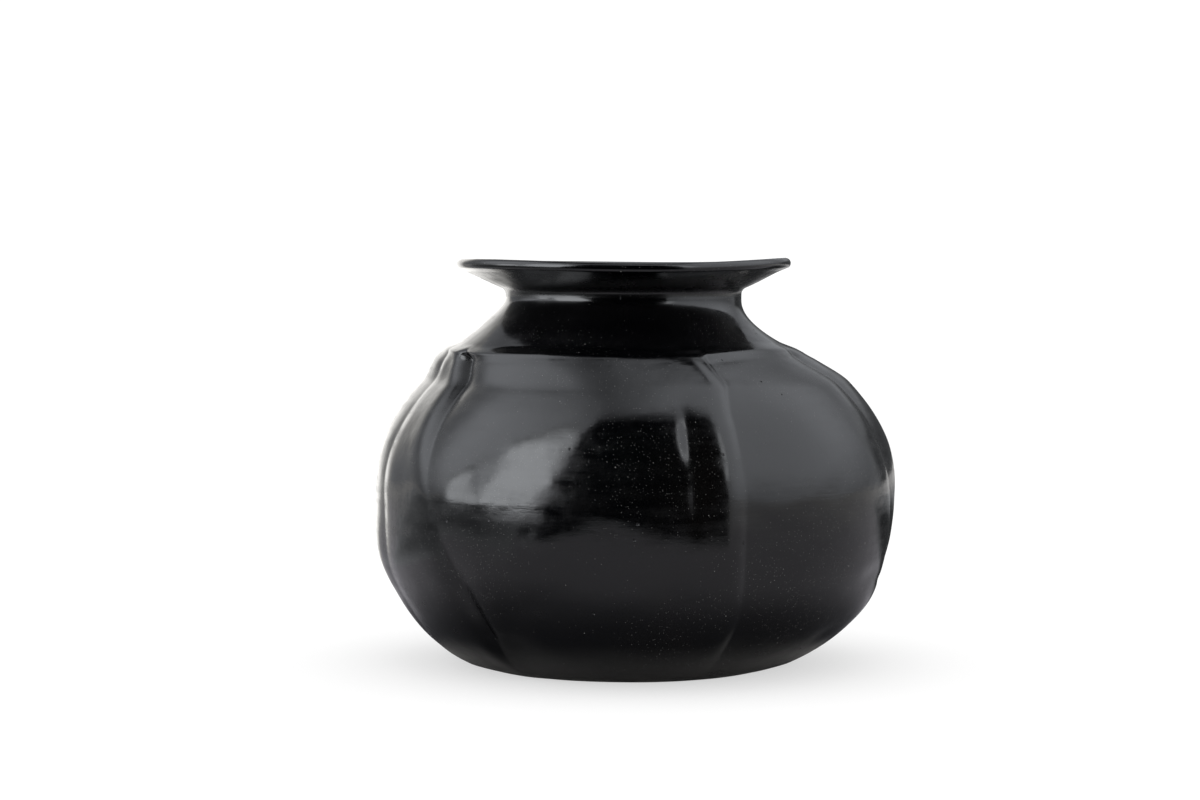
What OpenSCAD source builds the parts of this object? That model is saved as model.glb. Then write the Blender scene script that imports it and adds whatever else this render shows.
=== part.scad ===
// Hand-built lobed clay jar with a short neck and a wide flared rim.
// The jar is raised from a floor disc, three wall courses, a collar, a neck coil,
// a rim flange and a lip coil, which are luted together while the clay is wet.
// Origin at the centre of the flat base, +Z up, front of the jar towards -Y, millimetres.

/* [Overall size] */
// Height from the flat base to the mean top of the rim
total_h = 214; // [175:1:260]
// Radius over the lobes at the widest level
belly_r = 139; // [115:1:170]
// Height of the widest level above the base
belly_z = 92; // [75:1:112]
// Radius of the flat base
base_r = 85; // [70:1:102]

/* [Clay thickness] */
// Thickness of the wall, square to its surface
wall_t = 6; // [4:0.5:8]
// Thickness of the floor disc
floor_t = 8; // [6:0.5:11]

/* [Courses] */
// Height of the belly course
belly_course_h = 50; // [35:1:60]
// How far the belly course reaches above the widest level
belly_course_up = 22; // [14:1:28]
// Height of the neck coil
neck_h = 12; // [8:1:16]

/* [Neck and rim] */
// Outer radius of the neck at its narrowest
neck_r = 63; // [50:1:78]
// Drop from the rim's top to the narrowest level of the neck
neck_drop = 19.5; // [17:0.5:26]
// Drop from the narrowest level to the tops of the lobes
collar_drop = 29.5; // [22:0.5:38]
// How much wider the collar is at its foot than at the neck
collar_spread = 31; // [24:1:38]
// How far the rim stands out past the neck
rim_overhang = 26; // [20:1:34]
// Radius of the turn between the neck and the underside of the rim
flare_r = 5.5; // [4:0.5:7]
// Radial depth of the lip coil
lip_w = 5; // [4:0.5:7]
// Height of the lip's rounded edge
lip_h = 5.6; // [4.5:0.1:7]
// How far the hand-made rim rises and falls from its mean height
rim_wave = 1.3; // [0:0.1:2.5]

/* [Hand-made shape] */
// Sideways shift of the belly from the base's centre
belly_shift = 3; // [-5:0.5:5]
// Sideways shift of the neck and rim from the base's centre
neck_shift = -4; // [-5:0.5:5]
// Roundness of the wall below the widest level, where 2 is an ellipse
lower_round = 2.6; // [2:0.1:3.2]
// How far the tops of the lobes swell above the collar
lobe_cap = 2; // [0:0.5:3]
// Scale of the depth of all the grooves
groove_scale = 1; // [0:0.1:1.3]

/* [Hidden] */

// Grooves between the lobes, going round from the back left to the right. Each has its
// azimuth at the lobe tops and at the base (0 faces -Y, +90 faces +X), its depth, the width
// of its left and of its right flank in degrees, how much it fades at the widest level,
// and the swell of the lobe on its right.
grooves = [
    [-79, -78, 9.0, 7, 9, 0.0, -2],
    [-54, -35, 7.5, 9, 9, 0.8, 0],
    [23, 21, 7.5, 6, 12, 0.1, 1],
    [63, 74, 6.5, 8, 9, 0.1, 1],
    [116, 120, 7.5, 8, 9, 0.2, 0],
    [172, 168, 7.0, 9, 8, 0.3, 1],
    [226, 222, 8.0, 9, 9, 0.1, 5]
];
groove_floor = 1.6;
fade_band = 0.2;

neck_z = total_h - neck_drop;
lobe_z = neck_z - collar_drop;
belly_top_z = belly_z + belly_course_up;
lower_top_z = belly_top_z - belly_course_h;
collar_top_z = neck_z - neck_h;
rim_r = neck_r + rim_overhang;
lip_start_r = rim_r - lip_w;
flare_end = 68;
collar_power = 1.5;
edge_run = 2;
edge_rise = 1;

// Lengths of the lower and the upper half of the belly curve, from where they must end
lower_len = belly_z / pow(1 - pow(base_r / belly_r, lower_round), 1 / lower_round);
collar_foot_r = neck_r + collar_spread;
upper_len = (lobe_z - belly_z) / sqrt(1 - pow(collar_foot_r / belly_r, 2));

steps_round = 96;
cap_band = 5;
shift_band = 32;
groove_rise = 24;
groove_stop = 8;

// Smooth step from 0 to 1 as x goes from a to b
function ease(x, a, b) = let (t = min(1, max(0, (x - a) / (b - a)))) t * t * (3 - 2 * t);

// The angle a brought into -180 to 180
function turned(a) = a - 360 * floor((a + 180) / 360);

// Radius of the jar over the tops of the lobes, from the base to the narrowest level
function lower_r(z) =
    belly_r * pow(1 - pow((belly_z - z) / lower_len, lower_round), 1 / lower_round);
function upper_r(z) = belly_r * sqrt(1 - pow((z - belly_z) / upper_len, 2));
function collar_r(z) = neck_r + collar_spread * pow(max(0, neck_z - z) / collar_drop, collar_power);
function crest_r(z) = z < belly_z ? lower_r(z) : z < lobe_z ? upper_r(z) : collar_r(z);

// Wall thickness measured level, where the wall leans
function lean(z) = (crest_r(min(z + 0.5, neck_z)) - crest_r(z - 0.5)) / (min(z + 0.5, neck_z) - z + 0.5);
function level_t(z) = wall_t * sqrt(1 + pow(lean(z), 2));

// Sideways shift of the jar's middle at height z
function shift_x(z) = belly_shift * ease(z, floor_t, floor_t + shift_band)
    + (neck_shift - belly_shift) * ease(z, lobe_z - shift_band / 2, lobe_z);

// Where groove g runs at height z, and how deep it is there
function groove_az(g, z) = g[1] + (g[0] - g[1]) * min(1, z / lobe_z);
function groove_depth(g, z) = groove_scale * g[2]
    * ease(z, floor_t, floor_t + groove_rise) * (1 - ease(z, lobe_z - groove_stop, lobe_z))
    * (1 - g[5] * exp(-pow((z - belly_z) / (fade_band * total_h), 2)));
function groove_cut(g, az, z) =
    let (a = turned(az - groove_az(g, z)), w = a < 0 ? g[3] : g[4])
    groove_depth(g, z) * exp(-(sqrt(a * a + groove_floor * groove_floor) - groove_floor) / w);

// Swell of the lobe between groove i and the next one
function lobe_swell(i, az, z) =
    let (g = grooves[i], next = grooves[(i + 1) % len(grooves)],
         from = groove_az(g, z), span = turned(groove_az(next, z) - from),
         a = turned(az - from))
    a > 0 && a < span ? pow(sin(180 * a / span), 2) * g[6] : 0;

function total(v) = len(v) == 0 ? 0 : v * [for (i = v) 1];

// Outer radius at azimuth az and height z
function outer_r(az, z) =
    let (up = ease(z, floor_t, belly_z) * (1 - ease(z, lobe_z - groove_stop, lobe_z)),
         cap = lobe_cap * exp(-pow((z - lobe_z + cap_band + 2) / cap_band, 2))
             * (1 - ease(z, lobe_z - cap_band, lobe_z)))
    crest_r(z) + cap + up * total([for (i = [0 : len(grooves) - 1]) lobe_swell(i, az, z)])
    - total([for (g = grooves) groove_cut(g, az, z)]);

// Point at azimuth az, radius r and height z
function place(az, r, z) = [r * sin(az) + shift_x(z), -r * cos(az), z];

// Solid made of closed rings: rings[j] holds steps_round points, and the section of the solid
// runs through the rings in order and back to the first. Each ring goes round by rising azimuth
// and the section goes anticlockwise as seen with the axis on its left. other_way picks the
// other diagonal of each four-sided patch.
module ring_solid(rings, other_way = false) {
    n = steps_round;
    m = len(rings);
    points = [for (ring = rings) each ring];
    faces = [for (j = [0 : m - 1], i = [0 : n - 1])
        let (a = j * n + i, b = j * n + (i + 1) % n,
             c = (j + 1) % m * n + (i + 1) % n, d = (j + 1) % m * n + i)
        each other_way ? [[a, d, b], [b, d, c]] : [[a, c, b], [a, d, c]]];
    polyhedron(points, faces);
}

// Heights that split z0 to z1 into equal parts
function levels(z0, z1, parts) = [for (i = [0 : parts]) z0 + (z1 - z0) * i / parts];
function around() = [for (i = [0 : steps_round - 1]) 360 * i / steps_round];

// A lobed course of the wall from height z0 to z1
module wall_course(z0, z1, outer_parts, inner_parts) {
    outer = [for (z = levels(z0, z1, outer_parts)) [for (az = around()) place(az, outer_r(az, z), z)]];
    inner = [for (z = levels(z1, z0, inner_parts))
        [for (az = around()) place(az, outer_r(az, z) - level_t(z), z)]];
    ring_solid(concat(outer, inner));
}

// A round ring of the wall from height z0 to z1, turned about the neck's axis
module turned_ring(z0, z1, parts) {
    outer = [for (z = levels(z0, z1, parts)) [crest_r(z), z]];
    inner = [for (z = levels(z1, z0, parts)) [crest_r(z) - level_t(z), z]];
    translate([neck_shift, 0, 0]) rotate_extrude($fn = 96) polygon(concat(outer, inner));
}

// Rise and fall of the rim at azimuth az
function wave(az) = rim_wave * cos(3 * (az - 75));

// Section of the rim from the neck's narrowest level: its underside and its upper side.
// Both turn about one centre, then run straight to where the lip coil starts.
turn_angles = [for (i = [0 : 4]) flare_end * i / 4];
turn_c = [neck_r + flare_r, neck_z];
function on_turn(a, r) = turn_c + r * [-cos(a), sin(a)];
under_end = on_turn(flare_end, flare_r);
lip_slope = tan(90 - flare_end);
under_lip = [lip_start_r, under_end[1] + (lip_start_r - under_end[0]) * lip_slope];
upper_lip = [lip_start_r, total_h - 0.4];

// A point of the rim's section carried round, riding more of the wave the further out it is
function rim_ring(p) = let (share = ease(p[0], neck_r, lip_start_r) * ease(p[1], neck_z, under_lip[1]))
    [for (az = around()) place(az, p[0], p[1]) + [0, 0, wave(az) * share]];

module floor_disc() color("#1b1c1f") {
    side = [for (z = levels(edge_rise, floor_t, 5)) [lower_r(z), z]];
    rotate_extrude($fn = 96)
        polygon(concat([[0, 0], [base_r - edge_run, 0]], side, [[0, floor_t]]));
}

module lower_course() color("#202125") wall_course(floor_t, lower_top_z, 9, 6);

module belly_course() color("#232429") wall_course(lower_top_z, belly_top_z, 7, 5);

module shoulder_course() color("#202125") wall_course(belly_top_z, lobe_z, 10, 6);

module collar_coil() color("#1b1c1f") turned_ring(lobe_z, collar_top_z, 6);

module neck_coil() color("#232429") turned_ring(collar_top_z, neck_z, 4);

module rim_flange() color("#202125") {
    under = [for (a = turn_angles) on_turn(a, flare_r)];
    upper = [for (a = turn_angles) on_turn(a, flare_r + wall_t)];
    section = concat(under, [under_lip, upper_lip], [for (i = [4 : -1 : 0]) upper[i]]);
    ring_solid([for (p = section) rim_ring(p)]);
}

module lip_coil() color("#2a2b30") {
    c = [rim_r - lip_h / 2, total_h - lip_h / 2];
    edge = [for (a = [-60 : 30 : 90]) c + lip_h / 2 * [cos(a), sin(a)]];
    section = concat([under_lip], edge, [upper_lip]);
    ring_solid([for (p = section) rim_ring(p)], other_way = true);
}

floor_disc();
lower_course();
belly_course();
shoulder_course();
collar_coil();
neck_coil();
rim_flange();
lip_coil();
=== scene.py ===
"""Detailed looks for a hand-built lobed jar of burnished black clay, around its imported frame.

Every piece is a luted lump or coil of clay. Its section is drawn, turned about the jar's axis
and then shaped by hand: pressed grooves, swelling lobes, a leaning neck, a wavy rim and dents.
"""
import math

import bpy
import numpy as np
from bpy.props import FloatProperty, FloatVectorProperty, IntProperty, PointerProperty
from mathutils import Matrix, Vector


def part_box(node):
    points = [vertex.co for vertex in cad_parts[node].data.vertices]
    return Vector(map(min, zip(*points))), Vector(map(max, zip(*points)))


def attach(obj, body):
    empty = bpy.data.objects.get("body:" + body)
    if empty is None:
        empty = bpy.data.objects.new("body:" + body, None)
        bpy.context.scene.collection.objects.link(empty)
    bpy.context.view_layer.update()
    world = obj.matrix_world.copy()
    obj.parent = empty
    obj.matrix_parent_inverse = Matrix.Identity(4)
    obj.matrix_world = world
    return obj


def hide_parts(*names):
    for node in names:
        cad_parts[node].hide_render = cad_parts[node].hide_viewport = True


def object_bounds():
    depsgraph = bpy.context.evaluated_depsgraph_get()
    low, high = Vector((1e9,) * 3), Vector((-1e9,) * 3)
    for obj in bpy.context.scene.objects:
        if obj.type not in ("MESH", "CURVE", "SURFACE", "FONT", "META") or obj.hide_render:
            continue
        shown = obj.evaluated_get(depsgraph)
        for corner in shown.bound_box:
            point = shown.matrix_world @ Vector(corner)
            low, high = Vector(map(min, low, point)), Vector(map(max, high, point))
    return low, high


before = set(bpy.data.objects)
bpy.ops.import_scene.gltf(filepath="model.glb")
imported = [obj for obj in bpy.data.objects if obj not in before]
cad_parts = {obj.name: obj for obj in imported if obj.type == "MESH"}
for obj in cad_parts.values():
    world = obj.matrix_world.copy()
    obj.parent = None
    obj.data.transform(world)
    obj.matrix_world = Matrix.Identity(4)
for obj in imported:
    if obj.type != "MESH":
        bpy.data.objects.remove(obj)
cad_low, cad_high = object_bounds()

bl_info = {
    "name": "Lobed Clay Jar",
    "version": (1, 0, 0),
    "blender": (4, 5, 0),
    "location": "View3D > Sidebar > Jar",
    "description": "Builds a hand-made lobed jar of burnished black clay on its CAD frame",
    "category": "Add Mesh",
}

BODY = "root"
MM = 0.001


# ---------------------------------------------------------------- what the frame says

def rows(mesh, kind="co"):
    """Places or normals of a mesh's points, as rows of x, y, z."""
    flat = np.empty(len(mesh.vertices) * 3)
    mesh.vertices.foreach_get(kind, flat)
    return flat.reshape(-1, 3)


def ring_radius(node, height, centre_x):
    """Outer radius of a CAD node at one of its rings, about the axis through centre_x."""
    points = rows(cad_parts[node].data)
    near = np.abs(points[:, 2] - height) < 0.01 * MM
    return float(np.hypot(points[near, 0] - centre_x, points[near, 1]).max())


def top_of(node):
    """Height of a CAD node's top."""
    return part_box(node)[1].z


# The lip's axis and outer radius, and the radius where it meets the flared rim
LIP_LOW, LIP_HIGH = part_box("lip_coil")
NECK_X = (LIP_LOW.x + LIP_HIGH.x) / 2
RIM_R = (LIP_HIGH.x - LIP_LOW.x) / 2
LIP_START_R = (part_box("rim_flange")[1].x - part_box("rim_flange")[0].x) / 2

# Heights where one piece is luted to the next
FLOOR_TOP = top_of("floor_disc")
LOWER_TOP = top_of("lower_course")
BELLY_TOP = top_of("belly_course")
LOBE_TOP = top_of("shoulder_course")
COLLAR_TOP = top_of("collar_coil")
NECK_Z = top_of("neck_coil")

NECK_R = ring_radius("neck_coil", NECK_Z, NECK_X)
COLLAR_FOOT_R = ring_radius("collar_coil", LOBE_TOP, NECK_X)

# The wall's radius at the base, over the chamfer of its edge
BASE_CHAMFER = 2 * MM
BASE_R = ring_radius("floor_disc", 0.0, 0.0) + BASE_CHAMFER


# ---------------------------------------------------------------- settings

class JarSizes(bpy.types.PropertyGroup):
    """Sizes of the jar that the frame leaves open."""
    belly_radius: FloatProperty(
        name="Belly radius", description="Radius over the lobes at the widest level",
        default=139 * MM, unit="LENGTH", subtype="DISTANCE")
    belly_height: FloatProperty(
        name="Belly height", description="Height of the widest level above the base",
        default=92 * MM, unit="LENGTH", subtype="DISTANCE")
    belly_shift: FloatProperty(
        name="Belly shift", description="Sideways shift of the belly from the base",
        default=3 * MM, unit="LENGTH", subtype="DISTANCE")
    lower_round: FloatProperty(
        name="Lower round", description="Roundness of the wall under the widest level",
        default=2.6, min=2.0, max=3.2)
    wall: FloatProperty(
        name="Wall", description="Thickness of the clay wall",
        default=6 * MM, unit="LENGTH", subtype="DISTANCE")
    rim_wave: FloatProperty(
        name="Rim wave", description="How far the rim rises and falls",
        default=1.3 * MM, unit="LENGTH", subtype="DISTANCE")
    hand_wobble: FloatProperty(
        name="Hand wobble", description="Unevenness left by the potter's hands",
        default=0.42 * MM, unit="LENGTH", subtype="DISTANCE")
    ripple: FloatProperty(
        name="Ripple", description="Fine ripples left by the burnishing stone",
        default=0.075 * MM, unit="LENGTH", subtype="DISTANCE")
    columns: IntProperty(
        name="Columns", description="Columns of faces round the jar",
        default=576, min=96, max=720)
    row_height: FloatProperty(
        name="Row height", description="Length of a face along the jar's section",
        default=1.6 * MM, unit="LENGTH", subtype="DISTANCE")


class JarColours(bpy.types.PropertyGroup):
    """Colours and finish of the clay and the studio."""
    clay: FloatVectorProperty(
        name="Clay", description="Burnished black clay", subtype="COLOR",
        size=4, default=(0.0005, 0.0006, 0.0009, 1), min=0, max=1)
    cloud: FloatVectorProperty(
        name="Cloud", description="Faint brown firing clouds in the black", subtype="COLOR",
        size=4, default=(0.0024, 0.0019, 0.0016, 1), min=0, max=1)
    raw: FloatVectorProperty(
        name="Raw clay", description="Unburnished, smoke-blackened clay", subtype="COLOR",
        size=4, default=(0.028, 0.027, 0.027, 1), min=0, max=1)
    speck: FloatVectorProperty(
        name="Speck", description="Pale mineral specks in the clay", subtype="COLOR",
        size=4, default=(0.28, 0.28, 0.27, 1), min=0, max=1)
    gloss: FloatProperty(
        name="Gloss roughness", description="Roughness of the burnished skin",
        default=0.125, min=0.0, max=1.0, subtype="FACTOR")
    floor: FloatVectorProperty(
        name="Floor", description="Plain pale floor", subtype="COLOR",
        size=4, default=(0.4, 0.4, 0.4, 1), min=0, max=1)


# ---------------------------------------------------------------- the jar's shape

def ease(x, a, b):
    """Smooth step from 0 to 1 as x goes from a to b."""
    t = np.clip((x - a) / (b - a), 0, 1)
    return t * t * (3 - 2 * t)


def turned(degrees):
    """The angle brought into -180 to 180."""
    return (degrees + 180) % 360 - 180


def drawn_waves(random, number, counts, lengths):
    """Waves in the clay: how many go round the jar, their length up it in millimetres, their
    two phases and their size."""
    return [
        (int(random.integers(*counts)), random.uniform(*lengths), *random.uniform(0, 2 * math.pi, 2),
         random.uniform(0.4, 1.0))
        for _ in range(number)]


def wave_sum(waves, az, z):
    """All the waves together, about as high as one of them."""
    turn = np.radians(az)
    total = np.zeros_like(z)
    for count, length, p, q, size in waves:
        total += size * np.sin(count * turn + p) * np.sin(z / (length * MM) * math.pi + q)
    return total / math.sqrt(len(waves))


class Groove:
    """A groove pressed between two lobes. Azimuth 0 is the jar's front, 90 its right. top and
    base are its azimuths, left and right its half widths, in degrees. fade is the share of its
    depth that is lost at the widest level. In millimetres, swell is how far the lobe on its
    right stands out, notch a crease at its top and edge a ridge on its left. hook bends its top."""

    def __init__(self, top, base, depth, left, right, fade, swell, notch=0.0, hook=0.0, edge=0.0):
        self.top, self.base, self.hook = top, base, hook
        self.left, self.right, self.fade = left, right, fade
        self.depth, self.swell = depth * MM, swell * MM
        self.notch, self.edge = notch * MM, edge * MM


GROOVES = [
    Groove(-79, -78, 3.4, 6, 30, 0.0, -1.5),
    Groove(-61, -36, 9.0, 2.0, 12, 0.94, 0, notch=1.4, hook=-2),
    Groove(22, 24, 3.2, 1.6, 60, 0.1, 1, notch=0.6, hook=4, edge=1.2),
    Groove(73, 89, 3.0, 5, 7, 0.1, 3),
    Groove(116, 124, 7.5, 8, 9, 0.2, 0),
    Groove(172, 168, 7.0, 9, 8, 0.3, 1),
    Groove(226, 222, 8.0, 9, 9, 0.1, 4.3),
]

# A groove across, in degrees: how blunt it is, how blunt and wide the crease at its top is,
# and how far off and wide the ridge beside it is
GROOVE_BLUNT = 1.3
CREASE_SOFT, CREASE_BLUNT, CREASE_WIDTH = 0.1, 0.32, 1.3
RIDGE_OFF, RIDGE_WIDTH = 3.5, 5

# Along a groove: half the height over which it fades, and the crease's place and half height
FADE_TALL = 44 * MM
CREASE_DOWN, CREASE_TALL = 10 * MM, 13 * MM

# Dents and flats left by the hands, in degrees and millimetres: azimuth, height, half width
# round the jar, half height and depth. A negative depth is a bump.
DENTS = [
    (52, 3, 26, 9, 4.0),
    (66, 52, 7, 5, 1.2),
    (58, 22, 6, 6, 1.5),
    (10.9, 125, 2.1, 12, 1.7),
    (11.6, 98, 1.7, 14, 0.9),
    (-28, 40, 18, 16, 0.5),
    (-95, 54, 30, 18, -2.2),
    (80, 47, 6, 2.5, 0.7),
    (18, 166, 9, 10, -2.0),
    (-38.5, 26, 5, 20, -2.8),
    (98, 32, 28, 14, -1.6),
]

# The clay's waves: how many, how often each goes round the jar and its length up it
HAND_SEED = 11
WOBBLES, WOBBLE_COUNTS, WOBBLE_LENGTHS = 14, (2, 15), (15, 70)
RIPPLES, RIPPLE_COUNTS, RIPPLE_LENGTHS = 16, (14, 36), (7, 22)
WOBBLE_INWARDS = 1.35

# The rounded edge of the base: how far out from the base's radius, and how high
BASE_EDGE = [(-4 * MM, 0), (-2 * MM, 0.1 * MM), (1.2 * MM, 1.0 * MM)]
WALL_START = 2.0 * MM

# The fillet inside between floor and wall, where the shoulder begins to fill out below the
# tops of the lobes and over what height, and the curve of the collar's hollow
CORNER_TALL, CORNER_WIDE = 14 * MM, 9 * MM
SHOULDER_DOWN, SHOULDER_TALL = 19 * MM, 18 * MM
COLLAR_POWER, COLLAR_SOFT = 1.5, 0.15

# The rim's turn out of the neck: its radius, how many degrees it turns, and its centre's height
# above the neck. The lip's coil: its thickness, the degrees where its round starts and ends,
# and how far below it the rim's upper side begins
RIM_TURN_R, RIM_TURN_END, RIM_TURN_RISE = 3.5 * MM, 68, 1.5 * MM
LIP_THICK, LIP_START, LIP_END = 5.6 * MM, -52, 92
LIP_DISH = 0.4 * MM

# The name of the piece that stands for each CAD node
PIECES = {
    "floor_disc": "jar_floor",
    "lower_course": "jar_lower_wall",
    "belly_course": "jar_belly",
    "shoulder_course": "jar_shoulder",
    "collar_coil": "jar_collar",
    "neck_coil": "jar_neck",
    "rim_flange": "jar_rim",
    "lip_coil": "jar_lip",
}


class JarShape:
    """The jar's section, and how hands shape it once it is turned."""

    def __init__(self, sizes):
        self.s = s = sizes
        self.lower_len = s.belly_height / (
            1 - (BASE_R / s.belly_radius) ** s.lower_round) ** (1 / s.lower_round)
        self.upper_len = (LOBE_TOP - s.belly_height) / math.sqrt(
            1 - (COLLAR_FOOT_R / s.belly_radius) ** 2)
        # Room for the rim's wave under the frame's top
        self.rim_top = cad_high.z - 1.15 * s.rim_wave
        random = np.random.default_rng(HAND_SEED)
        self.waves = drawn_waves(random, WOBBLES, WOBBLE_COUNTS, WOBBLE_LENGTHS)
        self.ripples = drawn_waves(random, RIPPLES, RIPPLE_COUNTS, RIPPLE_LENGTHS)

    # The section
    def crest(self, z):
        """Radius over the tops of the lobes, from the base to the neck."""
        s = self.s
        z = np.asarray(z, float)
        below = np.clip((s.belly_height - z) / self.lower_len, 0, 1)
        above = np.clip((z - s.belly_height) / self.upper_len, 0, 1)
        lower = s.belly_radius * (1 - below ** s.lower_round) ** (1 / s.lower_round)
        upper = s.belly_radius * np.sqrt(1 - above ** 2)
        rise = np.clip((NECK_Z - z) / (NECK_Z - LOBE_TOP), 0, None)
        collar = NECK_R + (COLLAR_FOOT_R - NECK_R) * rise ** COLLAR_POWER
        return np.where(z < s.belly_height, lower, np.where(z < LOBE_TOP, upper, collar))

    def inside(self, z):
        """Radius of the inside of the wall, rounded into the floor."""
        step = 0.4 * MM
        lean = (self.crest(z + step) - self.crest(z - step)) / (2 * step)
        lean = np.where(z > NECK_Z - step, 0, lean)
        corner = np.clip(1 - (z - FLOOR_TOP) / CORNER_TALL, 0, 1) ** 2 * CORNER_WIDE
        return self.crest(z) - self.s.wall * np.sqrt(1 + lean ** 2) - corner

    def run(self, radius_of, z0, z1, spacing):
        """Stations from z0 to z1 along a radius function, evenly spaced along its curve."""
        z = np.linspace(z0, z1, 400)
        r = radius_of(z)
        return even(np.stack([r, z], 1), spacing)

    def rim(self):
        """The section under the rim, round its lip, and back over it into the throat."""
        centre = np.array([NECK_R + RIM_TURN_R, NECK_Z + RIM_TURN_RISE])
        angles = np.linspace(0, math.radians(RIM_TURN_END), 30)
        arc = np.stack([-np.cos(angles), np.sin(angles)], 1)
        under = np.vstack([[NECK_R, NECK_Z], centre + RIM_TURN_R * arc])
        lip_r = LIP_THICK / 2
        lip_c = np.array([RIM_R - lip_r, self.rim_top - lip_r])
        bend = np.radians(np.linspace(LIP_START, LIP_END, 24))
        lip = lip_c + lip_r * np.stack([np.cos(bend), np.sin(bend)], 1)
        throat = [NECK_R - self.s.wall, NECK_Z]
        upper = np.vstack([throat, centre + (RIM_TURN_R + self.s.wall) * arc])[::-1]
        return under, lip, upper

    def sections(self):
        """Outer and inner run of stations for each piece, in their order along the section."""
        step = self.s.row_height
        coarse = 2.5 * step
        base_step, floor_step = 6 * MM, 5 * MM
        under, lip, upper = self.rim()
        slope = (lip[0] - under[-1]) / (lip[0, 0] - under[-1, 0])
        cut_under = under[-1] + slope * (LIP_START_R - under[-1, 0])
        cut_upper = np.array([LIP_START_R, self.rim_top - LIP_DISH])
        edge = np.array([[0, 0]] + [[BASE_R + out, up] for out, up in BASE_EDGE])
        side = self.run(self.crest, WALL_START, FLOOR_TOP, step)
        inner_floor = float(self.inside(np.array([FLOOR_TOP]))[0])
        outer = {
            "floor_disc": np.vstack([even(edge[:2], base_step), edge[2:], side]),
            "lower_course": self.run(self.crest, FLOOR_TOP, LOWER_TOP, step),
            "belly_course": self.run(self.crest, LOWER_TOP, BELLY_TOP, step),
            "shoulder_course": self.run(self.crest, BELLY_TOP, LOBE_TOP, step),
            "collar_coil": self.run(self.crest, LOBE_TOP, COLLAR_TOP, step),
            "neck_coil": self.run(self.crest, COLLAR_TOP, NECK_Z, 0.8 * step),
            "rim_flange": even(np.vstack([under, cut_under]), 0.6 * step),
            "lip_coil": even(np.vstack([cut_under, lip, cut_upper]), 0.3 * step),
        }
        inner = {
            "rim_flange": even(np.vstack([cut_upper, upper]), step),
            "neck_coil": self.run(self.inside, NECK_Z, COLLAR_TOP, step),
            "collar_coil": self.run(self.inside, COLLAR_TOP, LOBE_TOP, step),
            "shoulder_course": self.run(self.inside, LOBE_TOP, BELLY_TOP, coarse),
            "belly_course": self.run(self.inside, BELLY_TOP, LOWER_TOP, coarse),
            "lower_course": self.run(self.inside, LOWER_TOP, FLOOR_TOP, coarse),
            "floor_disc": even(np.array([[inner_floor, FLOOR_TOP], [0, FLOOR_TOP]]), floor_step),
        }
        return outer, inner

    # What the hands do
    def groove_az(self, groove, z):
        """Azimuth of a groove's middle at height z."""
        lean = (groove.top - groove.base) * np.clip(z / LOBE_TOP, 0, 1)
        return groove.base + lean + groove.hook * ease(z, LOBE_TOP - 30 * MM, LOBE_TOP)

    def groove_reach(self, z):
        """How much of a groove's depth is pressed at height z."""
        top = 1 - ease(z, LOBE_TOP - 6 * MM, LOBE_TOP + 2 * MM)
        return ease(z, 1 * MM, 26 * MM) * top

    def pressed(self, az, z):
        """Depth pressed in by all the grooves, and the swell of the lobes between them."""
        s = self.s
        depth = np.zeros_like(z)
        swell = np.zeros_like(z)
        reach = self.groove_reach(z)
        level = np.exp(-((z - s.belly_height) / FADE_TALL) ** 2)
        body = ease(z, FLOOR_TOP, s.belly_height) * (1 - ease(z, LOBE_TOP - 8 * MM, LOBE_TOP))
        high = np.exp(-((z - LOBE_TOP + CREASE_DOWN) / CREASE_TALL) ** 2)
        for i, groove in enumerate(GROOVES):
            following = GROOVES[(i + 1) % len(GROOVES)]
            middle = self.groove_az(groove, z)
            a = turned(az - middle)
            width = np.where(a < 0, groove.left, groove.right)
            trough = np.sqrt(a * a + GROOVE_BLUNT * GROOVE_BLUNT) - GROOVE_BLUNT
            depth += reach * groove.depth * (1 - groove.fade * level) * np.exp(-trough / width)
            crease = np.sqrt(a * a + CREASE_SOFT) - CREASE_BLUNT
            depth += reach * groove.notch * high * np.exp(-crease / CREASE_WIDTH)
            depth -= reach * groove.edge * np.exp(-((a + RIDGE_OFF) / RIDGE_WIDTH) ** 2)
            span = turned(self.groove_az(following, z) - middle) % 360
            inside = (a > 0) & (a < span)
            swell += np.where(inside, np.sin(np.pi * np.clip(a / span, 0, 1)) ** 2, 0) * groove.swell
        return depth, swell * body

    def shoulder(self, az, z):
        """Fullness of the lobes where they end under the collar, most at the back and left."""
        turn = np.radians(az)
        most = (3.8 - 0.8 * np.cos(turn) - 0.8 * np.sin(turn)) * MM
        full = np.clip((z - LOBE_TOP + SHOULDER_DOWN) / SHOULDER_TALL, 0, 1) ** 2
        return most * full * (1 - ease(z, LOBE_TOP - 2 * MM, LOBE_TOP + 2.5 * MM))

    def collar_turn(self, az, z):
        """The collar is straight at the front and left, and hollow at the right and back."""
        rise = np.clip((NECK_Z - z) / (NECK_Z - LOBE_TOP), 0, 1)
        turn = np.radians(az)
        power = 1.4 + 0.35 * np.sin(turn) - 0.25 * np.cos(turn)
        bent = (np.sqrt(rise ** 2 + COLLAR_SOFT ** 2) - COLLAR_SOFT) / (
            math.sqrt(1 + COLLAR_SOFT ** 2) - COLLAR_SOFT)
        return (COLLAR_FOOT_R - NECK_R) * (bent ** power - rise ** COLLAR_POWER)

    def uneven(self, az):
        """How far the tops of the lobes rise and fall round the foot of the collar."""
        turn = np.radians(az)
        return 1.0 * MM * np.sin(2 * turn + 2.2) + 0.7 * MM * np.sin(5 * turn + 0.6) - 3 * MM

    def dents(self, az, z):
        """Depth of all the dents and flats together."""
        total = np.zeros_like(z)
        for middle, height, width, tall, deep in DENTS:
            a = turned(az - middle) / width
            b = (z - height * MM) / (tall * MM)
            total += deep * MM * np.exp(-(a * a + b * b))
        return total

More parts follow.
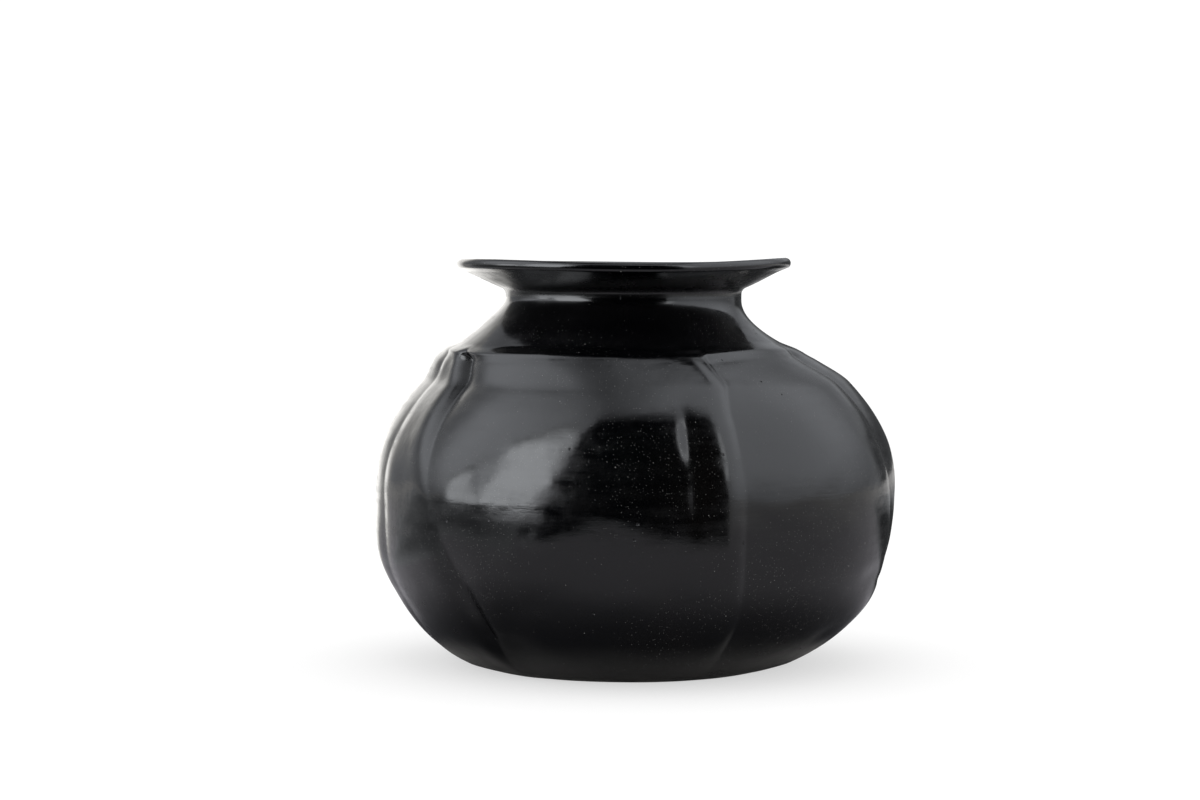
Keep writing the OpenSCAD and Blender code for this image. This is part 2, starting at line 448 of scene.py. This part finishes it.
    def wobble(self, az, z):
        """Soft unevenness and fine ripples, set inwards so that the jar keeps to its frame."""
        return (self.s.hand_wobble * (wave_sum(self.waves, az, z) - WOBBLE_INWARDS)
                + self.s.ripple * wave_sum(self.ripples, az, z))

    def shift(self, z):
        """Sideways place of the jar's middle, from the base past the belly to the neck."""
        s = self.s
        return (s.belly_shift * ease(z, FLOOR_TOP, FLOOR_TOP + 32 * MM)
                + (NECK_X - s.belly_shift) * ease(z, LOBE_TOP - 16 * MM, LOBE_TOP))

    def rim_lift(self, az, r, z):
        """How far the wave of the rim lifts a point, which grows from the neck to the lip."""
        rise = ease(r, NECK_R, LIP_START_R) * ease(z, NECK_Z, self.rim_top - 7 * MM)
        bend = 0.75 * np.cos(2 * np.radians(az - 90)) + 0.35 * np.cos(3 * np.radians(az - 75))
        return self.s.rim_wave * bend * rise

    def shaped(self, az, r, z):
        """Where the hands leave a turned point: azimuth in degrees, radius and height."""
        low = z + self.uneven(az) * ease(z, LOBE_TOP - 45 * MM, LOBE_TOP - 5 * MM)
        depth, swell = self.pressed(az, low)
        change = swell + self.shoulder(az, low) + self.collar_turn(az, z) - depth - self.dents(az, z)
        change = change + self.wobble(az, z) * (1 - 0.6 * ease(z, LOBE_TOP, NECK_Z))
        # The middle of the floor stays flat
        out = ease(r, 0.55 * BASE_R, 0.9 * BASE_R)
        high = ease(z, LOBE_TOP - 10 * MM, LOBE_TOP)
        radius = r + change * (out + (1 - out) * high)
        turn = np.radians(az)
        return np.stack([radius * np.sin(turn) + self.shift(z), -radius * np.cos(turn),
                         z + self.rim_lift(az, r, z)], -1)

    def normals(self, az, r, z, along):
        """Normals of the shaped surface, from its slopes round the jar and along its section."""
        turn_step, step = 0.05, 0.05 * MM
        round_way = (self.shaped(az + turn_step, r, z) - self.shaped(az - turn_step, r, z))
        up_way = (self.shaped(az, r + step * along[:, 0], z + step * along[:, 1])
                  - self.shaped(az, r - step * along[:, 0], z - step * along[:, 1]))
        normal = np.cross(round_way, up_way)
        length = np.linalg.norm(normal, axis=1, keepdims=True)
        return normal / np.maximum(length, 1e-20), length[:, 0] > 1e-13


def even(points, spacing):
    """Points respaced evenly along the line through them, with both ends kept."""
    lengths = np.concatenate([[0], np.cumsum(np.linalg.norm(np.diff(points, axis=0), axis=1))])
    count = max(2, int(round(lengths[-1] / spacing)) + 1)
    at = np.linspace(0, lengths[-1], count)
    return np.stack([np.interp(at, lengths, points[:, k]) for k in (0, 1)], 1)


# ---------------------------------------------------------------- turning and shaping a piece

# Depth of groove where the burnishing stone reaches least, and how poorly it reaches the rim
POOR_DEPTH = 8 * MM
POOR_RIM = 1.2


def deselect():
    """Nothing selected, in object mode."""
    if bpy.context.object and bpy.context.object.mode != "OBJECT":
        bpy.ops.object.mode_set(mode="OBJECT")
    bpy.ops.object.select_all(action="DESELECT")


def drawn_section(name, chain, is_open):
    """A ring of edges whose points are put on the section, opened where it meets the axis."""
    deselect()
    bpy.ops.mesh.primitive_circle_add(vertices=len(chain), radius=RIM_R)
    piece = bpy.context.object
    piece.name = piece.data.name = name
    points = np.zeros((len(chain), 3))
    points[:, 0], points[:, 2] = chain[:, 0], chain[:, 1]
    piece.data.vertices.foreach_set("co", points.ravel())
    if is_open:
        bpy.ops.object.mode_set(mode="EDIT")
        bpy.ops.mesh.select_mode(type="EDGE")
        bpy.ops.mesh.select_all(action="DESELECT")
        bpy.ops.object.mode_set(mode="OBJECT")
        for edge in piece.data.edges:
            edge.select = set(edge.vertices) == {0, len(chain) - 1}
        bpy.ops.object.mode_set(mode="EDIT")
        bpy.ops.mesh.delete(type="EDGE")
        bpy.ops.object.mode_set(mode="OBJECT")
    return piece


def turn(piece, columns):
    """The section turned once round the axis into a closed solid."""
    screw = piece.modifiers.new("Turn", "SCREW")
    screw.axis = "Z"
    screw.angle = 2 * math.pi
    screw.steps = screw.render_steps = columns
    screw.use_merge_vertices = True
    screw.merge_threshold = 0.001 * MM
    bpy.ops.object.modifier_apply(modifier=screw.name)
    bpy.ops.object.mode_set(mode="EDIT")
    bpy.ops.mesh.select_all(action="SELECT")
    bpy.ops.mesh.remove_doubles(threshold=0.001 * MM)
    bpy.ops.mesh.normals_make_consistent(inside=False)
    bpy.ops.object.mode_set(mode="OBJECT")
    bpy.ops.object.shade_smooth()


def add_values(mesh, name, values):
    """A named value on every point of a mesh."""
    layer = mesh.attributes.new(name, "FLOAT", "POINT")
    layer.data.foreach_set("value", np.asarray(values, np.float32))


def station_numbers(outer, inner, name):
    """Where a piece's stations stand in the whole section, outside first."""
    numbers, passed = [], 0
    for runs in (outer, inner):
        for key, run in runs.items():
            if key == name:
                numbers.append(np.arange(passed, passed + len(run)))
            passed += len(run)
    return np.concatenate(numbers)


def clay_piece(shape, name, material):
    """One luted piece of the jar, from its section to its finish."""
    outer, inner = shape.sections()
    line = np.vstack(list(outer.values()) + list(inner.values()))
    lip_end = sum(len(run) for run in outer.values())
    stations = station_numbers(outer, inner, name)
    piece = drawn_section(PIECES[name], line[stations], name == "floor_disc")
    add_values(piece.data, "station", stations)
    turn(piece, shape.s.columns)

    mesh = piece.data
    x, y, z = rows(mesh).T
    az = np.degrees(np.arctan2(x, -y))
    r = np.hypot(x, y)
    values = np.empty(len(mesh.vertices), np.float32)
    mesh.attributes["station"].data.foreach_get("value", values)
    index = np.clip(np.rint(values).astype(int), 0, len(line) - 1)
    mesh.vertices.foreach_set("co", shape.shaped(az, r, z).ravel())
    mesh.update()
    normal, sure = shape.normals(az, r, z, slopes(line)[index])
    normal[~sure] = rows(mesh, "normal")[~sure]
    mesh.normals_split_custom_set_from_vertices(normal)

    # The burnish ends in the throat, and is poorer in the grooves and on the rim
    inward = np.where(index < lip_end, 0.0, 1.0)
    throat = ease(-z, -NECK_Z - 6 * MM, -NECK_Z + 14 * MM)
    add_values(mesh, "burnish", 1 - inward * throat)
    depth, _ = shape.pressed(az, z)
    missed = np.clip(depth / POOR_DEPTH, 0, 1) if name != "rim_flange" else POOR_RIM
    add_values(mesh, "groove", missed * (1 - inward))
    mesh.attributes.remove(mesh.attributes["station"])
    mesh.materials.append(material)
    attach(piece, BODY)
    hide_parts(name)
    return piece


def slopes(line):
    """Direction of the section at each station, from its nearest distinct neighbours."""
    steps = np.diff(line, axis=0)
    lengths = np.linalg.norm(steps, axis=1)
    unit = steps / np.maximum(lengths, 1e-12)[:, None]
    real = lengths > 1e-7
    ahead, behind = unit.copy(), unit.copy()
    for i in range(len(unit) - 2, -1, -1):
        if not real[i]:
            ahead[i] = ahead[i + 1]
    for i in range(1, len(unit)):
        if not real[i]:
            behind[i] = behind[i - 1]
    before = np.vstack([behind[:1], behind])
    after = np.vstack([ahead, ahead[-1:]])
    mean = before + after
    return mean / np.maximum(np.linalg.norm(mean, axis=1), 1e-12)[:, None]


# ---------------------------------------------------------------- materials

FLOAT, VECTOR = "NodeSocketFloat", "NodeSocketVector"
SCUFF = (0.09, 0.085, 0.08, 1)
CLAY_IOR = 1.52
RAW_ROUGHNESS = 0.82
RELIEF = 0.8 * MM


def node(tree, kind, inputs=None, **settings):
    """A node with its settings and its inputs, each a value or another node's socket."""
    made = tree.nodes.new(kind)
    for key, value in settings.items():
        setattr(made, key, value)
    for key, value in (inputs or {}).items():
        if isinstance(value, bpy.types.NodeSocket):
            tree.links.new(value, made.inputs[key])
        else:
            made.inputs[key].default_value = value
    return made


def calc(tree, operation, a, b=0.0, clamp=False):
    """One step of arithmetic on a value, or on two."""
    return node(tree, "ShaderNodeMath", {0: a, 1: b}, operation=operation, use_clamp=clamp).outputs[0]


def layered(tree, *layers):
    """All the layers together, each a value and how much of it is laid on."""
    total = calc(tree, "MULTIPLY", *layers[0])
    for value, share in layers[1:]:
        total = calc(tree, "ADD", total, calc(tree, "MULTIPLY", value, share))
    return total


def blend_colours(tree, share, a, b):
    """Colour a, and a share of colour b over it."""
    return node(tree, "ShaderNodeMix", {0: share, 6: a, 7: b}, data_type="RGBA").outputs[2]


def blend_values(tree, share, a, b):
    """Value a, and a share of value b in its place."""
    return node(tree, "ShaderNodeMix", {0: share, 2: a, 3: b}).outputs[0]


def remap(tree, value, from_low, from_high, to_low=0.0, to_high=1.0):
    """A value brought smoothly from one range to another."""
    made = node(tree, "ShaderNodeMapRange", {
        "Value": value, "From Min": from_low, "From Max": from_high,
        "To Min": to_low, "To Max": to_high}, interpolation_type="SMOOTHSTEP")
    return made.outputs[0]


def stretched(tree, vector, scale):
    """A place scaled along each axis, which stretches the pattern that reads it."""
    return node(tree, "ShaderNodeMapping", {"Vector": vector, "Scale": scale}).outputs[0]


def noise(tree, vector, scale, detail=2.0, rough=0.5, twist=0.0):
    """Soft noise, mostly near a half."""
    return node(tree, "ShaderNodeTexNoise", {
        "Vector": vector, "Scale": scale, "Detail": detail, "Roughness": rough,
        "Distortion": twist}).outputs[0]


def own_value(tree, name):
    """A value that the piece itself holds."""
    return node(tree, "ShaderNodeAttribute", attribute_name=name).outputs["Fac"]


def group(name, inputs, outputs, build):
    """A shader node group with named sockets, built once."""
    if name in bpy.data.node_groups:
        return bpy.data.node_groups[name]
    tree = bpy.data.node_groups.new(name, "ShaderNodeTree")
    for label, kind, default in inputs:
        socket = tree.interface.new_socket(label, in_out="INPUT", socket_type=kind)
        if default is not None:
            socket.default_value = default
    for label, kind in outputs:
        tree.interface.new_socket(label, in_out="OUTPUT", socket_type=kind)
    ends = tree.nodes.new("NodeGroupInput"), tree.nodes.new("NodeGroupOutput")
    for label, value in build(tree, ends[0].outputs).items():
        tree.links.new(value, ends[1].inputs[label])
    return tree


def spots_group():
    """Scattered round spots: pits, pale specks, or scratches where the vector is stretched."""
    def build(tree, given):
        cells = node(tree, "ShaderNodeTexVoronoi",
                     {"Vector": given["Vector"], "Scale": given["Scale"]})
        share = node(tree, "ShaderNodeSeparateColor", {"Color": cells.outputs["Color"]})
        chosen = calc(tree, "LESS_THAN", share.outputs[0], given["Share"])
        size = calc(tree, "MULTIPLY", given["Size"], remap(tree, share.outputs[1], 0, 1, 0.45, 1.0))
        spot = calc(tree, "SUBTRACT", 1.0, calc(tree, "DIVIDE", cells.outputs["Distance"], size), True)
        return {"Mask": calc(tree, "MULTIPLY", remap(tree, spot, 0.0, 0.5), chosen)}
    return group("Scattered Spots", [
        ("Vector", VECTOR, None), ("Scale", FLOAT, 100.0), ("Size", FLOAT, 0.1),
        ("Share", FLOAT, 0.2)], [("Mask", FLOAT)], build)


def spots(tree, vector, scale, size, share):
    """Mask of scattered spots, which a share of all the cells have."""
    return node(tree, "ShaderNodeGroup", {
        "Vector": vector, "Scale": scale, "Size": size, "Share": share},
        node_tree=spots_group()).outputs["Mask"]


def strokes_group():
    """Marks of the burnishing stone: long strokes round the jar over shorter upright ones."""
    def build(tree, given):
        across = noise(tree, stretched(tree, given["Vector"], (6, 6, 60)), 2.6, 3.0, 0.55)
        down = noise(tree, stretched(tree, given["Vector"], (55, 55, 7)), 1.6, 3.0)
        return {"Height": layered(tree, (across, 0.6), (down, 0.4)),
                "Streak": remap(tree, across, 0.35, 0.7)}
    return group("Burnish Strokes", [("Vector", VECTOR, None)],
                 [("Height", FLOAT), ("Streak", FLOAT)], build)


def grain_group():
    """Fine grain of raw clay with the ridges of a wiping finger."""
    def build(tree, given):
        fine = noise(tree, given["Vector"], 900.0, 4.0, 0.7)
        lumps = noise(tree, given["Vector"], 120.0, 3.0)
        ridges = noise(tree, stretched(tree, given["Vector"], (9, 9, 170)), 1.0)
        return {"Height": layered(tree, (fine, 0.25), (lumps, 0.45), (ridges, 0.5)),
                "Tone": lumps}
    return group("Raw Clay Grain", [("Vector", VECTOR, None)],
                 [("Height", FLOAT), ("Tone", FLOAT)], build)


def clay_material(name, worn):
    """Black clay: burnished where the piece says so, raw elsewhere. worn is the wear of the base."""
    colours = bpy.context.scene.jar_colours
    made = bpy.data.materials.new(name)
    made.use_nodes = True
    made.diffuse_color = colours.clay
    tree = made.node_tree
    tree.nodes.clear()
    place = node(tree, "ShaderNodeTexCoord").outputs["Object"]
    burnish, groove = own_value(tree, "burnish"), own_value(tree, "groove")
    strokes = node(tree, "ShaderNodeGroup", {"Vector": place}, node_tree=strokes_group())
    grain = node(tree, "ShaderNodeGroup", {"Vector": place}, node_tree=grain_group())

    # Where the burnish ends inside the throat it frays
    fray = calc(tree, "MULTIPLY", noise(tree, place, 60.0, 3.0), 0.6)
    skin = remap(tree, calc(tree, "ADD", burnish, fray), 0.7, 1.0)

    # Brown firing clouds, and patches where the pale grit shows
    cloud = remap(tree, noise(tree, place, 9.0, 3.0, twist=0.6), 0.52, 0.78)
    patch = remap(tree, noise(tree, place, 14.0), 0.42, 0.68)
    speck_share = calc(tree, "ADD", calc(tree, "MULTIPLY", patch, 0.12), 0.02)
    dust_share = calc(tree, "ADD", calc(tree, "MULTIPLY", patch, 0.8), 0.05)
    specks = spots(tree, place, 330.0, 0.12, speck_share)
    dust = spots(tree, place, 950.0, 0.24, dust_share)
    pale = calc(tree, "MAXIMUM", specks, calc(tree, "MULTIPLY", dust, 0.5))

    # Pits and slits in the skin, and scratches round the jar
    pits = spots(tree, place, 95.0, 0.085, 0.22)
    slits = spots(tree, stretched(tree, place, (1.5, 1.5, 0.5)), 75.0, 0.05, 0.1)
    hollow = calc(tree, "MAXIMUM", pits, slits)
    scratches = spots(tree, stretched(tree, place, (3.2, 3.2, 0.16)), 150.0, 0.045, 0.12)

    colour = blend_colours(tree, calc(tree, "MULTIPLY", cloud, 0.7), colours.clay, colours.cloud)
    colour = blend_colours(tree, calc(tree, "MULTIPLY", pale, 0.6), colour, colours.speck)
    raw_pale = tuple(c * 1.6 for c in colours.raw[:3]) + (1.0,)
    raw = blend_colours(tree, remap(tree, grain.outputs["Tone"], 0.35, 0.65), colours.raw, raw_pale)
    colour = blend_colours(tree, skin, raw, colour)
    if worn:
        height = node(tree, "ShaderNodeSeparateXYZ", {"Vector": place}).outputs["Z"]
        low = remap(tree, height, 0.5 * MM, 2 * MM, 1.0, 0.0)
        scuffs = remap(tree, noise(tree, place, 45.0, 5.0), 0.4, 0.6)
        scuff = calc(tree, "MULTIPLY", calc(tree, "MULTIPLY", low, scuffs), worn)
        colour = blend_colours(tree, scuff, colour, SCUFF)

    mottle = remap(tree, noise(tree, place, 75.0, 6.0, 0.7), 0.35, 0.75, -0.02, 0.09)
    rough = remap(tree, strokes.outputs["Streak"], 0, 1, colours.gloss - 0.02, colours.gloss + 0.06)
    rough = calc(tree, "ADD", rough, mottle)
    rough = calc(tree, "ADD", rough, calc(tree, "MULTIPLY", groove, 0.1))
    rough = calc(tree, "ADD", rough, calc(tree, "MULTIPLY", cloud, 0.05))
    rough = calc(tree, "ADD", rough, calc(tree, "MULTIPLY", hollow, 0.5), clamp=True)
    rough = blend_values(tree, skin, RAW_ROUGHNESS, rough)

    waves = noise(tree, place, 42.0)
    skin_grain = noise(tree, stretched(tree, place, (1, 1, 1.8)), 190.0, 5.0, 0.65)
    height = layered(tree, (strokes.outputs["Height"], 0.15), (hollow, -0.55), (scratches, -0.05),
                     (waves, 0.34), (skin_grain, 0.05))
    raw_height = calc(tree, "MULTIPLY", grain.outputs["Height"], 0.8)
    height = blend_values(tree, skin, raw_height, height)
    bump = node(tree, "ShaderNodeBump", {"Height": height, "Strength": 1.0, "Distance": RELIEF})
    shader = node(tree, "ShaderNodeBsdfPrincipled", {
        "Base Color": colour, "Roughness": rough, "Normal": bump.outputs[0], "IOR": CLAY_IOR})
    node(tree, "ShaderNodeOutputMaterial", {"Surface": shader.outputs[0]})
    return made


def burnished_clay():
    """The burnished black skin that most of the jar has."""
    return bpy.data.materials.get("black_burnish") or clay_material("black_burnish", 0.0)


def floor_clay():
    """The same clay with the scuffs of the base."""
    return bpy.data.materials.get("smoked_base") or clay_material("smoked_base", 0.55)


# ---------------------------------------------------------------- stage

# The camera stands in front, a little to the left and just under the rim, and looks down by
# the tilt. At its distance it takes in the view's width.
CAMERA_DISTANCE = 1.5
CAMERA_X = -16.5 * MM
CAMERA_DOWN = 2.3 * MM
CAMERA_TILT = 2.81
VIEW_WIDTH = 639.6 * MM
SENSOR = 36

COOL = (0.95, 0.98, 1.02, 1)
WARM = (1.0, 0.985, 0.955, 1)
ROOM_TINT = (0.94, 0.97, 1.03, 1)
ROOM_LIGHT, SKY_LIGHT = 0.5, 1.12
LAMP_HEIGHT, LAMP_SIZE, LAMP_POWER = 3.2, 2.4, 12

# The floor that the jar's gloss sees, with painted shade: its painted colour under the jar, then where
# each ring of it begins and is reached, and the ring's colour. The pale patch under the jar is painted
# light, the dark ring close round the base is a painted shadow of the jar, and the rings grow paler
# outwards
FLOOR_PAINTED_UNDER = (0.5, 0.49, 0.48, 1)
FLOOR_SHADOW_RINGS = [
    (0.095, 0.12, (0.12, 0.12, 0.13, 1)),
    (0.12, 0.21, (0.42, 0.41, 0.44, 1)),
    (0.3, 1.8, (0.62, 0.61, 0.6, 1)),
]
FLOOR_GLOW = (0.6, 0.6, 0.6, 1)

# Azimuth and elevation of each pale wall, the cosines of its soft edge and core, its radiance
WALL_GLOWS = [
    (-80, 34, 0.67, 1.0, 1.85),
    (78, 44, 0.5, 0.95, 1.3),
]


def direction(azimuth, elevation):
    """Unit vector: azimuth 0 points to the front, 90 to the right, elevation up."""
    a, e = math.radians(azimuth), math.radians(elevation)
    return Vector((math.sin(a) * math.cos(e), -math.cos(a) * math.cos(e), math.sin(e)))


def glow_material(name, radiance, around, tint):
    """Light of one tint, as strong as radiance in the sheet's core and as around at its edges."""
    made = bpy.data.materials.new(name)
    made.use_nodes = True
    tree = made.node_tree
    tree.nodes.clear()
    strength = blend_values(tree, own_value(tree, "core"), around, radiance)
    glow = node(tree, "ShaderNodeEmission", {"Color": tint, "Strength": strength})
    node(tree, "ShaderNodeOutputMaterial", {"Surface": glow.outputs[0]})
    return made


def glossy_sheet(name, place, radiance, around, soft, tint):
    """A sheet that only the jar's gloss sees. place puts each point of a unit square. soft is
    how far the sheet fades to around at its left, right, lower and upper edges."""
    deselect()
    bpy.ops.mesh.primitive_grid_add(x_subdivisions=32, y_subdivisions=24, size=2)
    made = bpy.context.object
    made.name = name
    core = []
    for vertex in made.data.vertices:
        u, v = (vertex.co.x + 1) / 2, (vertex.co.y + 1) / 2
        vertex.co = place(u, v)
        fades = [ease(gap, 0, width) for gap, width in zip((u, 1 - u, v, 1 - v), soft) if width]
        core.append(math.prod(float(fade) for fade in fades))
    add_values(made.data, "core", core)
    made.data.materials.append(glow_material(name + "_glow", radiance, around, tint))
    for kind in ("camera", "diffuse", "shadow", "transmission"):
        setattr(made, "visible_" + kind, False)
    return made


def panel(name, azimuths, low, high, distance, radiance, around=0.0, soft=(0, 0, 0, 0), tint=COOL):
    """A curved panel round the jar. low and high are the elevations of its lower and upper
    edges, one for each azimuth."""
    middle = (cad_low + cad_high) / 2

    def place(u, v):
        azimuth = azimuths[0] + (azimuths[-1] - azimuths[0]) * u
        bottom, top = np.interp(azimuth, azimuths, low), np.interp(azimuth, azimuths, high)
        return middle + direction(azimuth, bottom + (top - bottom) * v) * distance

    return glossy_sheet(name, place, radiance, around, soft, tint)


def mat(name, azimuths, near, far, radiance, around=0.0, soft=(0, 0, 0, 0), tint=COOL):
    """A sheet of paper on the floor, from near to far."""
    def place(u, v):
        azimuth = azimuths[0] + (azimuths[1] - azimuths[0]) * u
        return direction(azimuth, 0) * near * (far / near) ** v + Vector((0, 0, 1 * MM))

    return glossy_sheet(name, place, radiance, around, soft, tint)


def floor_material(colour):
    """Pale floor paint, which the jar's gloss sees darker: painted shade, with painted light under the
    jar and a painted shadow ring round it.
    """
    made = bpy.data.materials.new("floor_paint")
    made.use_nodes = True
    tree = made.node_tree
    shader = tree.nodes["Principled BSDF"]
    ray = node(tree, "ShaderNodeLightPath").outputs["Is Glossy Ray"]
    place = node(tree, "ShaderNodeTexCoord").outputs["Object"]
    reach = node(tree, "ShaderNodeVectorMath", {0: place}, operation="LENGTH").outputs["Value"]
    # Painted shade for the gloss: painted light under the jar, a painted shadow ring round it, paler
    # further out
    painted_shade = FLOOR_PAINTED_UNDER
    for begins, reached, ring in FLOOR_SHADOW_RINGS:
        painted_shade = blend_colours(tree, remap(tree, reach, begins, reached), painted_shade, ring)
    paint = blend_colours(tree, ray, colour, painted_shade)
    tree.links.new(paint, shader.inputs["Base Color"])
    tree.links.new(calc(tree, "SUBTRACT", 1.0, ray), shader.inputs["Emission Strength"])
    shader.inputs["Emission Color"].default_value = FLOOR_GLOW
    shader.inputs["Roughness"].default_value = 0.9
    shader.inputs["Specular IOR Level"].default_value = 0.0
    return made


def studio_world():
    """White for the eye. The jar's gloss sees a dim room with a pale wall at either side."""
    world = bpy.data.worlds.new("studio_world")
    world.use_nodes = True
    tree = world.node_tree
    tree.nodes.clear()
    way = node(tree, "ShaderNodeTexCoord").outputs["Generated"]
    room = ROOM_LIGHT
    for azimuth, elevation, edge, core, radiance in WALL_GLOWS:
        facing = node(tree, "ShaderNodeVectorMath", {0: way, 1: direction(azimuth, elevation)},
                      operation="DOT_PRODUCT").outputs["Value"]
        glow = calc(tree, "MULTIPLY", remap(tree, facing, edge, core), radiance)
        room = calc(tree, "ADD", glow, room)
    ray = node(tree, "ShaderNodeLightPath").outputs["Is Glossy Ray"]
    strength = blend_values(tree, ray, SKY_LIGHT, room)
    tint = blend_colours(tree, ray, (1, 1, 1, 1), ROOM_TINT)
    sky = node(tree, "ShaderNodeBackground", {"Color": tint, "Strength": strength})
    node(tree, "ShaderNodeOutputWorld", {"Surface": sky.outputs[0]})
    return world


def studio():
    """The floor, the sheets that show in the gloss, the lamp and the camera."""
    scene = bpy.context.scene
    deselect()
    bpy.ops.mesh.primitive_circle_add(
        vertices=96, radius=12, fill_type="NGON", location=(0, 0, -0.02 * MM))
    floor = bpy.context.object
    floor.name = "studio_floor"
    floor.data.materials.append(floor_material(scene.jar_colours.floor))
    scene.world = studio_world()

    # Dark stands in front and overhead
    panel("front_dark", (-50, -44, -39, -35, -32, 0, 41), (-6,) * 7, (-2, 8, 20, 63, 65, 67, 66),
          distance=2.05, radiance=0.0, around=0.35, soft=(0, 0, 0, 0.07))
    mat("front_mat", (-50, 41), 0.5, 3.0, radiance=0.0, around=0.45, soft=(0.05, 0.05, 0.2, 0))
    mat("left_mat", (-128, -50), 0.3, 4.0, radiance=0.24, around=0.6, soft=(0.1, 0.2, 0.15, 0.5))
    panel("top_dark", (100, 140, 155, 180, 205, 222, 262), (70, 64, 60, 60, 60, 60, 64), (84,) * 7,
          distance=2.0, radiance=0.0)

    # Windows on the left, and a light from the right
    panel("window_main", (-70, -54, -44, -40, -34), (-9, -9, -7, 6, 26), (40, 56, 57, 54, 46),
          distance=2.0, radiance=5.6, around=1.2, soft=(0.04, 0.12, 0.12, 0.25))
    panel("window_side", (-98, -86, -79, -76, -70), (-6,) * 5, (14, 24, 26, 9, 9),
          distance=2.0, radiance=4.2, around=1.2, soft=(0.3, 0.04, 0.15, 0.3))
    panel("edge_light", (41, 53), (10, 10), (58, 58),
          distance=2.0, radiance=3.0, around=0.8, soft=(0, 0.3, 0.2, 0.2))

    # Behind the jar, dim on the right and warm on the left
    panel("back_right", (130, 178), (-2, -2), (16, 16),
          distance=1.95, radiance=0.1, around=0.55, soft=(0.2, 0, 0, 0.4))
    mat("right_mat", (122, 180), 0.16, 1.2, radiance=0.05, around=0.45, soft=(0.1, 0, 0.2, 0.2))
    panel("back_left", (-180, -140), (-3, -3), (30, 30),
          distance=2.0, radiance=1.9, around=0.55, soft=(0.2, 0.35, 0, 0.4), tint=WARM)
    mat("left_paper", (-180, -140), 0.18, 4.0,
        radiance=1.9, around=0.5, soft=(0.2, 0.35, 0.5, 0), tint=WARM)

    deselect()
    bpy.ops.object.light_add(type="AREA", location=(0, 0, LAMP_HEIGHT))
    lamp = bpy.context.object
    lamp.name = "key_light"
    lamp.data.shape = "DISK"
    lamp.data.size = LAMP_SIZE
    lamp.data.energy = LAMP_POWER
    lamp.visible_camera = False
    lamp.visible_glossy = False

    deselect()
    bpy.ops.object.camera_add(location=(CAMERA_X, -CAMERA_DISTANCE, cad_high.z - CAMERA_DOWN))
    camera = bpy.context.object
    camera.name = "studio_camera"
    camera.rotation_euler = (math.radians(90 - CAMERA_TILT), 0, 0)
    camera.data.sensor_width = SENSOR
    camera.data.lens = SENSOR * CAMERA_DISTANCE / VIEW_WIDTH
    camera.data.clip_end = 100
    scene.camera = camera
    scene.view_settings.view_transform = "Standard"


# ---------------------------------------------------------------- operators and panel

class PieceMaker:
    """What the piece operators share."""
    bl_options = {"REGISTER", "UNDO"}
    pieces = ()

    def execute(self, context):
        shape = JarShape(context.scene.jar_sizes)
        for name in self.pieces:
            raw = name == "floor_disc"
            clay_piece(shape, name, floor_clay() if raw else burnished_clay())
        return {"FINISHED"}


class JAR_OT_floor(PieceMaker, bpy.types.Operator):
    """Build the floor disc with its flat, worn base"""
    bl_idname = "jar.floor"
    bl_label = "Floor Disc"
    pieces = ("floor_disc",)


class JAR_OT_wall(PieceMaker, bpy.types.Operator):
    """Build the three lobed courses of the wall"""
    bl_idname = "jar.wall"
    bl_label = "Wall Courses"
    pieces = ("lower_course", "belly_course", "shoulder_course")


class JAR_OT_neck(PieceMaker, bpy.types.Operator):
    """Build the collar and the neck coil"""
    bl_idname = "jar.neck"
    bl_label = "Collar and Neck"
    pieces = ("collar_coil", "neck_coil")


class JAR_OT_rim(PieceMaker, bpy.types.Operator):
    """Build the flared rim and the coil of its lip"""
    bl_idname = "jar.rim"
    bl_label = "Rim and Lip"
    pieces = ("rim_flange", "lip_coil")


class JAR_OT_stage(bpy.types.Operator):
    """Set up the pale floor, the soft lights and the camera"""
    bl_idname = "jar.stage"
    bl_label = "Studio"
    bl_options = {"REGISTER", "UNDO"}

    def execute(self, context):
        studio()
        return {"FINISHED"}


OPERATORS = (JAR_OT_floor, JAR_OT_wall, JAR_OT_neck, JAR_OT_rim, JAR_OT_stage)


class JAR_PT_panel(bpy.types.Panel):
    """The jar's settings and its makers"""
    bl_idname = "JAR_PT_panel"
    bl_label = "Lobed Clay Jar"
    bl_space_type = "VIEW_3D"
    bl_region_type = "UI"
    bl_category = "Jar"

    def draw(self, context):
        for settings in (context.scene.jar_sizes, context.scene.jar_colours):
            column = self.layout.column()
            for name in settings.__annotations__:
                column.prop(settings, name)
        for operator in OPERATORS:
            self.layout.operator(operator.bl_idname)


CLASSES = (JarSizes, JarColours) + OPERATORS + (JAR_PT_panel,)


def register():
    """Make the settings, the makers and the panel known to Blender."""
    for cls in CLASSES:
        bpy.utils.register_class(cls)
    bpy.types.Scene.jar_sizes = PointerProperty(type=JarSizes)
    bpy.types.Scene.jar_colours = PointerProperty(type=JarColours)


def unregister():
    """Take them away again."""
    del bpy.types.Scene.jar_sizes
    del bpy.types.Scene.jar_colours
    for cls in reversed(CLASSES):
        bpy.utils.unregister_class(cls)


def main():
    """Build the jar and its studio."""
    register()
    bpy.ops.jar.floor()
    bpy.ops.jar.wall()
    bpy.ops.jar.neck()
    bpy.ops.jar.rim()
    bpy.ops.jar.stage()


if __name__ == "__main__":
    main()
